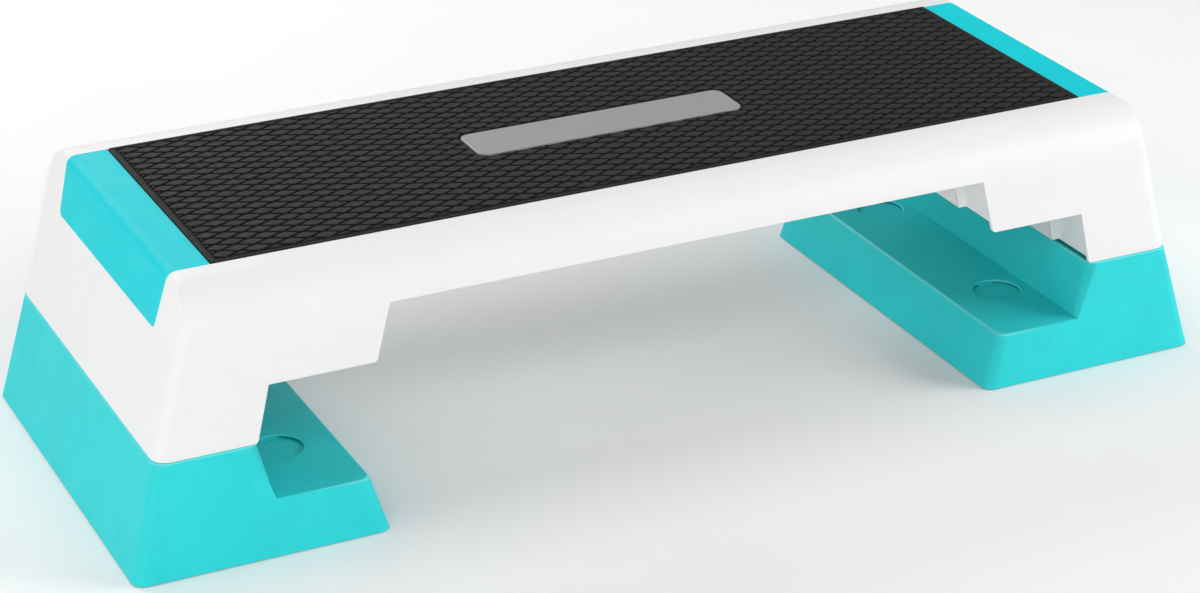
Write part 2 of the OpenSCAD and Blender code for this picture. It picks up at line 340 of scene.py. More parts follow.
def deck_point(column, z, inset, top):
    """A point of the skin of the front right quarter: column is (zone, fraction or offset)."""
    zone, value = column
    hx, hy, rc = half_length(z, inset, top), half_depth(z, inset, top), corner_radius(z, inset, top)
    skirt, leg = skirt_edge(z) + EDGE_R, leg_edge(z) + EDGE_R
    if zone == "mid":
        return value * skirt, -hy, z
    if zone in LOW_CORNERS:
        low_z, top_z, r, edge = LOW_CORNERS[zone]
        v = z - low_z - EDGE_R
        u, v = round_corner(value, v, r) if z < top_z - 1 else (value, v)
        z_new = low_z + EDGE_R + v
        return edge(z_new) + EDGE_R + u, -hy, z_new
    if zone == "step_rest":
        start = skirt + STEP_CORNER_R
        return start + value * (leg - start), -hy, z
    if zone == "leg_rest":
        start = leg + LEG_CORNER_R
        return start + value * (hx - rc - start), -hy, z
    if zone == "corner":
        a = math.radians(90 * value)
        return hx - rc + rc * math.sin(a), -hy + rc - rc * math.cos(a), z
    side = cap_side(z) + SEAM
    if zone == "end_strip":
        y0 = hy - rc
        y, z_new = -(y0 + value * (side - y0)), z
        low = CAP_LOW_Z - SEAM
        if value == 1 and low <= z < low + CAP_ROUND:
            b = 1 - (z - low) / CAP_ROUND
            z_new = low + CAP_ROUND * (1 - b / math.sqrt(2))
            y = -(cap_side(z_new) + SEAM - CAP_ROUND + CAP_ROUND * math.sqrt(1 - b * b / 2))
        return half_length(z_new, inset, top), y, z_new
    # the rest of the end wall, under the cap
    side = CAP_LOW_Y + SEAM
    y, z_new = -(side - value), z
    low = CAP_LOW_Z - SEAM
    if abs(z - low) < 1e-6 and value < CAP_ROUND:
        b = 1 - value / CAP_ROUND
        y = -(side - CAP_ROUND + CAP_ROUND * b / math.sqrt(2))
        z_new = low + CAP_ROUND * (1 - math.sqrt(1 - b * b / 2))
    return half_length(z_new, inset, top), y, z_new


def deck_columns():
    columns = [("mid", f) for f in spread(0, 1, 26)]
    columns += [("step", c) for c in corner_places(STEP_CORNER_R, 6)]
    columns += [("step_rest", f) for f in spread(0, 1, 8)[1:]]
    columns += [("leg", c) for c in corner_places(LEG_CORNER_R, 5)]
    columns += [("leg_rest", f) for f in spread(0, 1, 8)[1:-1]]
    columns += [("corner", f) for f in spread(0, 1, 10)]
    columns += [("end_strip", f) for f in spread(0, 1, 3)[1:]]
    columns += [("end", c) for c in corner_places(CAP_ROUND, 5)][1:]
    columns += [("end", v) for v in spread(CAP_ROUND, CAP_LOW_Y + SEAM, 14)[1:]]
    return columns


FIRST_ROW = {"mid": "skirt", "step": "step", "step_rest": "step"}


def deck_quarter(surface, inset, top):
    """Grid of indices of the front right quarter's skin; None where there is no skin."""
    rows, step_row, cap_row, skirt_row = deck_rows()
    first = {"skirt": skirt_row, "step": step_row, "leg": 0}
    columns = deck_columns()
    fixed = DECK_TOP - SIDE_R + 6      # rows above this height close up under a lower top
    grid = []
    for j, z in enumerate(rows):
        if z > fixed:
            z = fixed + (z - fixed) / (DECK_TOP - fixed) * (top - fixed)
        line = []
        for column in columns:
            zone = column[0]
            start = first[FIRST_ROW.get(zone, "leg")]
            if j < start or (zone == "end" and j > cap_row):
                line.append(None)
                continue
            line.append(surface.add([deck_point(column, z, inset, top)])[0])
        grid.append(line)
    return grid, columns, (step_row, cap_row, skirt_row)


def run_of(columns, zone):
    """First and last column of a zone."""
    found = [i for i, c in enumerate(columns) if c[0] == zone]
    return found[0], found[-1]


def lower_path(grid, columns, marks):
    """The skin's stepped lower edge, from the middle of the front to the middle of the end."""
    step_row, _, skirt_row = marks
    mid0, mid1 = run_of(columns, "mid")
    step0 = run_of(columns, "step")[0]
    leg0 = run_of(columns, "leg")[0]
    rest1 = run_of(columns, "step_rest")[1]
    path = [grid[skirt_row][i] for i in range(mid0, mid1 + 1)]
    path += [grid[j][step0] for j in range(skirt_row - 1, step_row, -1)]
    path += [grid[step_row][i] for i in range(step0, rest1 + 1)]
    path += [grid[j][leg0] for j in range(step_row - 1, 0, -1)]
    path += [grid[0][i] for i in range(leg0, len(columns))]
    return path


def window_path(grid, columns, marks):
    """The edge of the opening that the tread and the cap fill, on the end of the deck."""
    cap_row = marks[1]
    strip1 = run_of(columns, "end_strip")[1]
    path = [grid[cap_row][i] for i in range(len(columns) - 1, strip1, -1)]
    path += [grid[j][strip1] for j in range(cap_row, len(grid))]
    return path


def outward(surface, path, inner, flip):
    """For each point of an edge, the directions out past the edge and into the wall."""
    p = [Vector(surface.points[i]) for i in path]
    q = [Vector(surface.points[i]) for i in inner]
    result = []
    for k in range(len(p)):
        normal = (p[k] - q[k]).normalized()
        parts = []
        for a, b in ((k - 1, k), (k, k + 1)):
            if a >= 0 and b < len(p) and (p[b] - p[a]).length > 1e-6:
                parts.append((p[b] - p[a]).cross(normal).normalized() * flip)
        total = sum(parts, Vector())
        if len(parts) == 2:
            total = total / max(1 + parts[0].dot(parts[1]), 0.4)
        result.append((total, -normal))
    return result


def rim(surface, path, inner, radius, flip=1):
    """Rounded edge between the outer and the inner skin along a path."""
    frames = outward(surface, path, inner, flip)

    def row(edge, degrees, way):
        a = math.radians(degrees)
        return surface.add([
            Vector(surface.points[i]) + out * radius * math.sin(a) + deep * way * radius * (1 - math.cos(a))
            for i, (out, deep) in zip(edge, frames)])

    rows = [row(path, d, 1) for d in (30, 60, 90)] + [row(inner, d, -1) for d in (90, 60, 30)]
    surface.skin([path] + rows + [inner])


def top_strip(surface, grid, columns, top):
    """The flat white border between the rounded edge and the opening for the tread."""
    last = grid[-1]
    corner1 = run_of(columns, "corner")[1]
    strip1 = run_of(columns, "end_strip")[1]
    outer = last[:strip1 + 1]
    end = surface.points[outer[-1]]
    path = surface.add([(surface.points[i][0], end[1], top) for i in outer[:corner1]]) + [outer[-1]]
    line = path + [outer[-1]] * (strip1 - corner1)
    surface.skin([outer, line])
    return path


def deck_skin():
    """The white shell with its windows for the tread and the caps."""
    s = Surface()
    inner_top = DECK_TOP - TOP_DROP
    outer, columns, marks = deck_quarter(s, 0.0, DECK_TOP)
    inner, _, _ = deck_quarter(s, WALL, inner_top)
    for grid in (outer, inner):
        for a, b in zip(grid, grid[1:]):
            for i in range(len(columns) - 1):
                corners = (a[i], a[i + 1], b[i + 1], b[i])
                if None not in corners:
                    s.quad(*corners)
    rim(s, lower_path(outer, columns, marks), lower_path(inner, columns, marks), EDGE_R)
    side_out = window_path(outer, columns, marks)
    side_in = window_path(inner, columns, marks)
    line_out = top_strip(s, outer, columns, DECK_TOP)
    line_in = top_strip(s, inner, columns, inner_top)
    out_path = side_out + list(reversed(line_out))[1:]
    in_path = side_in + list(reversed(line_in))[1:]
    rim(s, out_path, in_path, WINDOW_RIM)
    return s


def mirrored(mesh, axes):
    """Adds the mirror image across each axis in turn and welds the halves."""
    for axis in axes:
        geom = mesh.verts[:] + mesh.edges[:] + mesh.faces[:]
        copy = bmesh.ops.duplicate(mesh, geom=geom)["geom"]
        verts = [g for g in copy if isinstance(g, bmesh.types.BMVert)]
        for v in verts:
            v.co[axis] = -v.co[axis]
        bmesh.ops.reverse_faces(mesh, faces=[g for g in copy if isinstance(g, bmesh.types.BMFace)])
        bmesh.ops.remove_doubles(mesh, verts=mesh.verts, dist=0.002)
    return mesh


def end_profile(inset, x_start, z_end):
    """Points (x, z) along the top, round the edge and down the leaning end, drawn in by an inset."""
    r = END_R - inset
    top = DECK_TOP - inset
    points = [(x_start, top)]
    points += [(END_CENTRE_X + r * math.cos(a), top - r + r * math.sin(a))
               for a in (math.radians(d) for d in spread(90, math.degrees(LEAN), 10))]
    x, z = points[-1]
    for k in spread(0, 1, 6)[1:]:
        points.append((x + (z - z_end) * k * END_DRAFT, z - (z - z_end) * k))
    return points


TRAY_TOP = 2.6                 # the tray's upper face, below the top
TRAY_LOW, TRAY_LOW_END = 4.9, 3.9      # and its lower face, in the middle and at the ends
TRAY_LAP_Z, TRAY_LAP_Y = 3.0, 2.5      # how far it passes under the shell


def add_tray(s):
    """The floor under the tread and the caps, one plate over the top and down the ends."""
    low_z = CAP_LOW_Z - TRAY_LAP_Z
    outer = [(0, DECK_TOP - TRAY_TOP)] + end_profile(TRAY_TOP, CAP_TOP_Y, low_z)[1:]
    inner = [(0, DECK_TOP - TRAY_LOW)] + end_profile(TRAY_LOW_END, CAP_TOP_Y, low_z)[1:]
    for side in (1, -1):
        path = [(side * x, z) for x, z in outer] + [(side * x, z) for x, z in reversed(inner)]
        half = [cap_side(z) + TRAY_LAP_Y for _, z in path]
        a = s.add([(x, -h, z) for (x, z), h in zip(path, half)])
        b = s.add([(x, h, z) for (x, z), h in zip(path, half)])
        n = len(outer)
        s.skin([a, b], closed=True)
        for k in range(n - 1):
            s.quad(a[k], a[k + 1], a[2 * n - 2 - k], a[2 * n - 1 - k])
            s.quad(b[k], b[2 * n - 1 - k], b[2 * n - 2 - k], b[k + 1])


def leaning_plate(s, x, z_ref, draft, z0, z1, y0, y1, t):
    """A plate from z0 to z1 and y0 to y1 whose inner face passes through x at z_ref."""
    low_x, high_x = x - draft * (z0 - z_ref), x - draft * (z1 - z_ref)
    outline = [(low_x, y0, z0), (low_x + t, y0, z0), (high_x + t, y0, z1), (high_x, y0, z1)]
    s.prism(outline, (0, 1, 0), y1 - y0)


RIB_T = 2.2
RIB_PITCH_X, RIB_PITCH_Y = 60.0, 48.0
RIB_REACH = (462.0, 167.0)     # half lengths of the ribs along and across the deck
RIB_SIDE_Y = 183.0             # outer ends of the lower pieces beside the rounded edge
RIB_SIDE_DROP = 13.0           # and how much lower they stop
CROSS_SIDE_DROP = 26.0         # the same for the cross walls
LEG_MID_Y, STEP_MID_Y = 144.0, 150.0   # half widths of the cross walls' middle stretches


def add_cross_wall(s, x, z_ref, draft, z0, half_mid):
    """A wall across the deck, its middle stretch set forward between two returns."""
    back, forward, t = 1.5, 6.5, RIB_T
    top = DECK_TOP - 4.5
    side = DECK_Y - 2.5
    for y0, y1 in ((-side, -half_mid), (half_mid, side)):
        leaning_plate(s, x + back, z_ref, draft, z0, top - CROSS_SIDE_DROP, y0, y1, t)
    leaning_plate(s, x - forward, z_ref, draft, z0, top, -half_mid, half_mid, t)
    for y in (-half_mid, half_mid):
        leaning_plate(s, x - forward, z_ref, draft, z0, top, y - t / 2, y + t / 2, forward + back + t)


def add_deck_inside(s):
    """Ribs, cross walls and foot bosses under the deck."""
    rib_z, top = SKIRT_Z + 10, DECK_TOP - 4
    along, across = RIB_REACH
    for k in range(-3, 4):
        y = k * RIB_PITCH_Y
        s.box((-along, y - RIB_T / 2, rib_z), (along, y + RIB_T / 2, top))
    for k in range(-7, 8):
        x = k * RIB_PITCH_X
        s.box((x - RIB_T / 2, -across, rib_z), (x + RIB_T / 2, across, top))
        for side in (-1, 1):
            y = sorted((side * (across - 1), side * RIB_SIDE_Y))
            s.box((x - RIB_T / 2, y[0], rib_z), (x + RIB_T / 2, y[1], top - RIB_SIDE_DROP))
    for side in (1, -1):
        part = Surface()
        for x, z, upper_x, low_z, half_mid in (
                (LEG_INNER_X, RISER_TOP, STEP_OUTER_X, LEG_Z + 5, LEG_MID_Y),
                (STEP_INNER_X, STEP_Z, SKIRT_X, STEP_Z + 9.5, STEP_MID_Y)):
            add_cross_wall(part, x, z, (x - upper_x) / LEVEL, low_z, half_mid)
        i = s.add([(side * x, y, z) for x, y, z in part.points])
        s.faces.extend(tuple(i[k] for k in f) for f in part.faces)
    fx, fy, r = round_node("deck_foot_right_rear")
    z0, z1 = LEG_Z + 4.4, DECK_TOP - 5     # from the foot's disc to the underside of the top

    def limit(z):
        reach = half_length(z, WALL / 2)
        return -reach, reach

    for sx in (-1, 1):
        for sy in (-1, 1):
            s.boss((sx * fx, sy * fy), r, z0, z1, z1 - z0 - 3, limit)


def build_deck(material):
    mesh = mirrored(deck_skin().bm(), (0, 1))
    inside = Surface()
    add_tray(inside)
    add_deck_inside(inside)
    joined(mesh, inside.bm())
    return make_object("deck_body", mesh, "deck", material, replaces=["deck_shell"])


# ------------ end caps

def cap_stations():
    """Places along the cap's middle line: (x, z, direction out of the surface)."""
    start = mat_high[0] + 2 * SEAM
    up = Vector((0, 0, 1))
    out = Vector((math.cos(LEAN), 0, math.sin(LEAN)))
    stations = [(x, DECK_TOP, up) for x in spread(start + CAP_RIM, END_CENTRE_X, 4)]
    for d in spread(90, math.degrees(LEAN), 12)[1:]:
        a = math.radians(d)
        stations.append((END_CENTRE_X + END_R * math.cos(a), DECK_TOP - END_R + END_R * math.sin(a),
                         Vector((math.cos(a), 0, math.sin(a)))))
    x, z, _ = stations[-1]
    low = CAP_LOW_Z + SEAM + CAP_RIM
    heights = spread(z, low + CAP_ROUND, 7)[1:]
    heights += [low + c for c in reversed(corner_places(CAP_ROUND, 5))][1:]
    stations += [(x + (z - h) * END_DRAFT, h, out) for h in heights]
    return stations


def build_cap(name, side, material, node):
    s = Surface()
    stations = cap_stations()
    low = stations[-1][1]
    gap = SEAM + CAP_RIM
    corner = corner_places(CAP_ROUND, 5)
    grids = []
    for depth in (0.0, CAP_T):
        grid = []
        for x, z, out in stations:
            half = cap_side(z) - gap
            rounded = z < low + CAP_ROUND + 1e-6
            offsets = corner + spread(CAP_ROUND, 2 * half - CAP_ROUND, 20)[1:-1]
            offsets += [2 * half - c for c in reversed(corner)]
            line = []
            for u in offsets:
                mirror_side = u > half
                v = 2 * half - u if mirror_side else u
                w = z - low
                if rounded:
                    v, w = round_corner(v, w, CAP_ROUND)
                z_new = low + w
                y = -(half - v)
                x_new = x + (z - z_new) * END_DRAFT if rounded else x
                p = Vector((x_new, -y if mirror_side else y, z_new)) - out * depth
                line.append(s.add([(side * p.x, p.y, p.z)])[0])
            grid.append(line)
        s.skin(grid)
        grids.append(grid)

    def border(grid):
        middle = grid[1:-1]
        sides = [line[-1] for line in middle], [line[0] for line in reversed(middle)]
        return grid[0] + sides[0] + grid[-1][::-1] + sides[1]

    outer, inner = border(grids[0]), border(grids[1])
    rim(s, outer + outer[:1], inner + inner[:1], CAP_RIM, flip=-side)
    return make_object(name, s.bm(), "deck", material, replaces=[node])


# ------------ tread

def rounded_rectangle(hx, hy, r, n=6):
    r = max(r, 0.05)
    points = []
    for q in range(4):
        cx = hx - r if q in (0, 3) else r - hx
        cy = hy - r if q < 2 else r - hy
        for k in range(n + 1):
            a = math.radians(90 * (q + k / n))
            points.append((cx + r * math.cos(a), cy + r * math.sin(a)))
    return points


def clip(polygon, point, normal):
    """The part of a convex polygon on the side of a line that its normal points to."""
    def height(p):
        return (p[0] - point[0]) * normal[0] + (p[1] - point[1]) * normal[1]

    kept = []
    for a, b in zip(polygon, polygon[1:] + polygon[:1]):
        da, db = height(a), height(b)
        if da >= 0:
            kept.append(a)
        if (da > 0) != (db > 0) and abs(da - db) > 1e-9:
            t = da / (da - db)
            kept.append((a[0] + (b[0] - a[0]) * t, a[1] + (b[1] - a[1]) * t))
    return kept


def area(polygon):
    return 0.5 * sum(a[0] * b[1] - b[0] * a[1] for a, b in zip(polygon, polygon[1:] + polygon[:1]))


def softened(polygon, radius):
    """A convex polygon with its corners rounded by at most a radius."""
    n = len(polygon)
    points = []
    for k in range(n):
        p, c, q = (Vector(polygon[(k + d) % n]) for d in (-1, 0, 1))
        a, b = p - c, q - c
        if a.length < 1e-4 or b.length < 1e-4:
            continue
        half = math.acos(max(-1, min(1, a.normalized().dot(b.normalized())))) / 2
        if half < 0.05:
            continue
        cut = min(radius / math.tan(half), 0.45 * a.length, 0.45 * b.length)
        start, end = c + a.normalized() * cut, c + b.normalized() * cut
        for t in spread(0, 1, 3):
            points.append(tuple(start * (1 - t) ** 2 + c * 2 * t * (1 - t) + end * t * t))
    return points


def drawn_in(polygon, d):
    """A convex polygon, anticlockwise, moved in by a distance; corners keep their count."""
    def inward(edge):
        return Vector((-edge.y, edge.x)).normalized() if edge.length > 1e-6 else Vector((0, 0))

    n = len(polygon)
    result = []
    for k in range(n):
        p, c, q = (Vector(polygon[(k + i) % n]) for i in (-1, 0, 1))
        total = inward(c - p) + inward(q - c)
        if total.length < 1e-6:
            result.append(tuple(c))
            continue
        m = total / max(total.length_squared / 2, 0.7)
        result.append(tuple(c + m * d))
    return result


def plate_edge(p, grow):
    """Nearest point of the plate's grown outline to p, and its outward normal."""
    hx, hy, r = plate_high[0] + grow, plate_high[1] + grow, PLATE_R + grow
    ax, ay = abs(p[0]), abs(p[1])
    qx, qy = ax - (hx - r), ay - (hy - r)
    if qx > 0 and qy > 0:
        d = math.hypot(qx, qy)
        n = (qx / d, qy / d)
        point = (hx - r + r * n[0], hy - r + r * n[1])
    elif hx - ax < hy - ay:
        n, point = (1.0, 0.0), (hx, min(ay, hy - r))
    else:
        n, point = (0.0, 1.0), (min(ax, hx - r), hy)
    sx, sy = math.copysign(1, p[0]), math.copysign(1, p[1])
    return (point[0] * sx, point[1] * sy), (n[0] * sx, n[1] * sy)


def lozenge(cx, cy):
    a, b = LOZENGE_L / 2, LOZENGE_W / 2
    side = math.hypot(a, b)
    shrink = GROOVE / 2
    a, b = a - shrink * side / b, b - shrink * side / a
    return [(cx + a, cy), (cx, cy + b), (cx - a, cy), (cx, cy - b)]


def tread_tiles(s, floor, top):
    """The raised lozenges, cut by the tread's border and by the plate in its middle."""
    hx, hy = mat_high[0] - TREAD_BORDER, mat_high[1] - TREAD_BORDER
    rows = int(hy / (LOZENGE_W / 2)) + 2
    columns = int(hx / (LOZENGE_L / 2)) + 2
    wear_and_painted_light = random.Random(7)
    borders = [((hx, 0), (-1, 0)), ((-hx, 0), (1, 0)), ((0, hy), (0, -1)), ((0, -hy), (0, 1))]
    for j in range(-rows, rows + 1):
        for i in range(-columns, columns + 1):
            if (i + j) % 2 == 0:
                continue
            cx, cy = i * LOZENGE_L / 2, j * LOZENGE_W / 2
            tile = lozenge(cx, cy)
            for point, normal in borders:
                tile = clip(tile, point, normal) if len(tile) > 2 else tile
            if len(tile) > 2:
                point, normal = plate_edge((cx, cy), GROOVE)
                tile = clip(tile, point, normal)
            if len(tile) < 3 or area(tile) < 6:
                continue
            foot = softened(tile, 1.7)
            if len(foot) < 6:
                continue
            # real wear: the tile tops sit a little lower at random, in the geometry only
            lift = wear_and_painted_light.uniform(-0.06, 0.0)
            shoulder = drawn_in(foot, 0.28)
            crown = drawn_in(foot, 0.7)
            levels = ((foot, floor - 0.2), (shoulder, top - 0.42 + lift), (crown, top + lift))
            s.stack([[(x, y, z) for x, y in outline] for outline, z in levels])


def build_tread(material):
    """Rubber sheet with a raised border and lozenges."""
    s = Surface()
    hx, hy, top = mat_high
    floor, low = top - GROOVE_DEPTH, mat_low[2]
    # profiles of the border, (distance in, height): grooved at the ends, plain along the sides
    ring = [(0.0, low), (0.0, DECK_TOP - 0.2), (0.25, DECK_TOP + 0.35), (0.8, top - 0.45),
            (1.3, top - 0.3), (2.0, top - 0.35), (2.5, top - 1.2), (3.3, top - 1.25), (3.8, top - 0.45),
            (4.4, top - 0.2), (5.0, top - 0.45), (5.5, floor + 0.05), (6.2, floor)]
    plain = [(0.0, low), (0.0, DECK_TOP - 0.2), (0.3, DECK_TOP + 0.2), (1.0, DECK_TOP + 0.45),
             (1.8, top - 0.75), (2.6, top - 0.6), (3.4, top - 0.55), (4.0, top - 0.6), (4.6, top - 0.75),
             (5.1, top - 0.95), (5.5, floor + 0.15), (5.8, floor + 0.05), (6.2, floor)]
    rows = []
    for (d, z), (e, w) in zip(ring, plain):
        line = []
        for x, y in rounded_rectangle(hx - d, hy - e, MAT_R - max(d, e)):
            side = min(max((hx - abs(x)) / (4 * MAT_R), 0), 1)
            line.append((x, y, z + (w - z) * side))
        rows.append(line)
    s.stack(rows)
    tread_tiles(s, floor, top)
    return make_object("tread", s.bm(weld=0.0005), "deck", material, replaces=["tread_mat"])


def build_plate(material):
    s = Surface()
    hx, hy, _ = plate_high
    top = TREAD_TOP - 0.1
    profile = [(0, plate_low[2]), (0, top - 0.6), (0.18, top - 0.25), (0.6, top), (1.4, top + 0.06)]
    s.stack([[(x, y, z) for x, y in rounded_rectangle(hx - d, hy - d, PLATE_R - d, n=10)]
             for d, z in profile])
    return make_object("name_plate", s.bm(), "deck", material, replaces=["centre_plate"])


# ------------ risers

RISER_WALL = 3.0
IN_DRAFT = 0.3
FOOT_DISC = 8.0
RISER_ROUND = 12.0             # upright outer corners
RISER_IN_ROUND = 10.0          # upright corners under the shelf and beside the step
RISER_EDGE = 2.4               # edges of the shelf and of the top
RISER_RIB_H = 21.0


def riser_out_x(z, inset):
    return riser_high[0] - END_DRAFT * (z - RIM_Z) - inset * math.hypot(1, END_DRAFT)


def riser_in_x(z, inset):
    return riser_low[0] + IN_DRAFT * (z - RIM_Z) + inset * math.hypot(1, IN_DRAFT)


def riser_step_x(z, inset):
    return STEP_OUTER_X + (LEG_INNER_X - STEP_OUTER_X) * (z - LEVEL) / LEVEL + inset


def riser_half_depth(z, inset):
    return riser_high[1] + (DECK_Y - riser_high[1]) * (z - RIM_Z) / (RISER_TOP - RIM_Z) - inset


def riser_form(inset):
    """The right riser's stepped form as a mesh with rounded edges, open below."""
    shelf_z = LEVEL - inset
    top_z = RISER_TOP - inset
    mesh = bmesh.new()
    spots = {"low_in": (riser_in_x, RIM_Z), "low_out": (riser_out_x, RIM_Z), "top_out": (riser_out_x, top_z),
             "top_step": (riser_step_x, top_z), "shelf_step": (riser_step_x, shelf_z),
             "shelf_in": (riser_in_x, shelf_z)}
    v = {}
    for name, (face_x, z) in spots.items():
        for y_side in (-1, 1):
            v[name, y_side] = mesh.verts.new((face_x(z, inset), y_side * riser_half_depth(z, inset), z))
    outline = list(spots)
    for y_side in (-1, 1):
        mesh.faces.new([v[n, y_side] for n in outline])
    for a, b in zip(outline, outline[1:] + outline[:1]):
        if (a, b) != ("low_in", "low_out"):
            mesh.faces.new([v[a, -1], v[b, -1], v[b, 1], v[a, 1]])
    bmesh.ops.recalc_face_normals(mesh, faces=mesh.faces)
    upright = {("low_out", "top_out"): RISER_ROUND, ("shelf_in", "low_in"): RISER_IN_ROUND,
               ("top_step", "shelf_step"): RISER_IN_ROUND}
    layer = mesh.edges.layers.float.new("bevel_weight_edge")
    for (a, b), width in upright.items():
        for y_side in (-1, 1):
            mesh.edges.get((v[a, y_side], v[b, y_side]))[layer] = width / RISER_ROUND
    mesh = bevelled(mesh, RISER_ROUND * max(1 - inset / RISER_ROUND, 0.5))
    layer = mesh.edges.layers.float.get("bevel_weight_edge")
    for e in mesh.edges:
        e[layer] = 0.0
    for z in (top_z, shelf_z):
        for e in flat_face(mesh, z).edges:
            e[layer] = 1.0 if e.is_convex else 0.0
    mesh = bevelled(mesh, RISER_EDGE, 3)
    bmesh.ops.remove_doubles(mesh, verts=mesh.verts, dist=0.01)
    # painted highlight: vertices just under the edges of the top and the shelf get 1, which the riser
    # material paints lighter and whiter
    wear_and_painted_light = mesh.verts.layers.float.new("wear_and_painted_light")
    for v in mesh.verts:
        if any(0.05 < z - v.co.z < 0.8 * RISER_EDGE for z in (top_z, shelf_z)):
            v[wear_and_painted_light] = 1.0
    return mesh


def bevelled(mesh, width, steps=8):
    """The mesh with its edges rounded by their bevel weight times a width."""
    data = bpy.data.meshes.new("form")
    mesh.to_mesh(data)
    mesh.free()
    obj = bpy.data.objects.new("form", data)
    bpy.context.scene.collection.objects.link(obj)
    bevel = obj.modifiers.new("bevel", "BEVEL")
    bevel.width = width
    bevel.segments = steps
    bevel.limit_method = "WEIGHT"
    bevel.use_clamp_overlap = False
    result = bmesh.new()
    result.from_object(obj, bpy.context.evaluated_depsgraph_get())
    bpy.data.objects.remove(obj)
    bpy.data.meshes.remove(data)
    return result


def flat_face(mesh, z):
    """The largest level face at height z."""
    level = [f for f in mesh.faces if abs(f.calc_center_median().z - z) < 0.5 and abs(f.normal.z) > 0.99]
    return max(level, key=lambda f: f.calc_area())


def add_recess(mesh, centre, z):
    """A round recess with a soft rim, going down from its outer ring, which is returned."""
    # radius, height, painted light: above 0 a painted highlight on the rim, below 0 painted shade down the
    # wall and over the floor
    profile = [(24.2, 0.0, 0), (23.8, -0.10, 0.6), (23.4, -0.38, 1), (23.1, -0.85, 0.2), (22.9, -1.45, -0.7),
               (22.8, -2.1, -1), (22.6, -3.0, -1), (22.3, -3.6, -1), (21.6, -4.1, -0.9), (20.4, -4.3, -0.5),
               (15, -4.3, -0.4)]
    wear_and_painted_light = mesh.verts.layers.float["wear_and_painted_light"]
    rings = []
    for r, drop, painted_light in profile:
        rings.append([mesh.verts.new(point) for point in circle(centre, r, z + drop)])
        for v in rings[-1]:
            v[wear_and_painted_light] = painted_light
    for a, b in zip(rings, rings[1:]):
        for k in range(TURN_STEPS):
            n = (k + 1) % TURN_STEPS
            mesh.faces.new((a[k], a[n], b[n], b[k]))
    mesh.faces.new(rings[-1])
    return rings[0]


def open_recesses(mesh, z, centres):
    """Replaces the level face at height z by one with round recesses."""
    face = flat_face(mesh, z)
    border = list(face.verts)
    bmesh.ops.delete(mesh, geom=[face], context="FACES_ONLY")
    fill(mesh, [border] + [add_recess(mesh, centre, z) for centre in centres])


def joined(mesh, other):
    """Adds another bmesh to a mesh and frees it."""
    data = bpy.data.meshes.new("part")
    other.to_mesh(data)
    other.free()
    mesh.from_mesh(data)
    bpy.data.meshes.remove(data)


def close_rim(mesh, middle_x):
    """Faces between the lower borders of an outer and an inner form, in that order in the mesh."""
    rims = [v for v in mesh.verts if v.is_boundary]

    def turn(v):
        return math.atan2(v.co.y, v.co.x - middle_x)

    outer = sorted(rims[:len(rims) // 2], key=turn)
    inner = sorted(rims[len(rims) // 2:], key=turn)
    for k in range(len(outer)):
        mesh.faces.new((outer[k], outer[k - 1], inner[k - 1], inner[k]))


def build_riser(name, side, material, node):
    mesh = riser_form(0.0)
    deck_x, deck_y, _ = round_node("deck_foot_right_rear")
    spots = [(LEG_INNER_X + STEP_OUTER_X - deck_x, LEVEL), (deck_x, RISER_TOP)]
    for x, z in spots:
        open_recesses(mesh, z, [(x, sy * deck_y) for sy in (-1, 1)])
    joined(mesh, riser_form(RISER_WALL))
    close_rim(mesh, (riser_low[0] + riser_high[0]) / 2)
    inside = Surface()
    add_riser_inside(inside, spots, deck_y)
    joined(mesh, inside.bm())
    bmesh.ops.scale(mesh, vec=(side, 1, 1), verts=mesh.verts)
    return make_object(name, mesh, side_body(side), material, replaces=[node])


def add_riser_inside(s, spots, y):
    """Ribs, recess cups and foot bosses inside the right riser."""
    deep = RISER_WALL / 2
    floors = ((LEVEL, riser_in_x, riser_step_x), (RISER_TOP, riser_step_x, riser_out_x))
    for k in range(6):
        ry = (k - 2.5) * RIB_PITCH_X
        for top_z, inner, outer in floors:
            low, high = top_z - RISER_RIB_H, top_z - deep
            reach = -deep if outer is riser_step_x else deep
            outline = [(inner(low, deep), low), (outer(low, reach), low), (outer(high, reach), high),
                       (inner(high, deep), high)]
            s.prism([(px, ry - RIB_T / 2, pz) for px, pz in outline], (0, 1, 0), RIB_T)
    for x, z in spots:
        half = riser_half_depth(z, deep)
        s.box((x - RIB_T / 2, -half, z - RISER_RIB_H), (x + RIB_T / 2, half, z - 7))
        for sy in (-1, 1):
            s.lathe([(0, 0), (24.6, 0), (25, 0.4), (25, 6.3), (23.6, 6.3), (23.4, 2.9), (0, 2.9)],
                    (x, sy * y, z - 7.5))

    def limit(z):
        return riser_in_x(z, deep), riser_out_x(z, deep)

    for end, roof in (("outer", RISER_TOP), ("inner", LEVEL)):
        x, fy, r = round_node(f"riser_foot_right_{end}_rear")
        for sy in (-1, 1):
            s.boss((x, sy * fy), r, FOOT_DISC + 0.2, roof - deep, 18, limit)


def side_body(side):
    return "right_riser" if side > 0 else "left_riser"


# ------------ feet

DECK_STEM_R, RISER_STEM_R = 18.3, 11.3


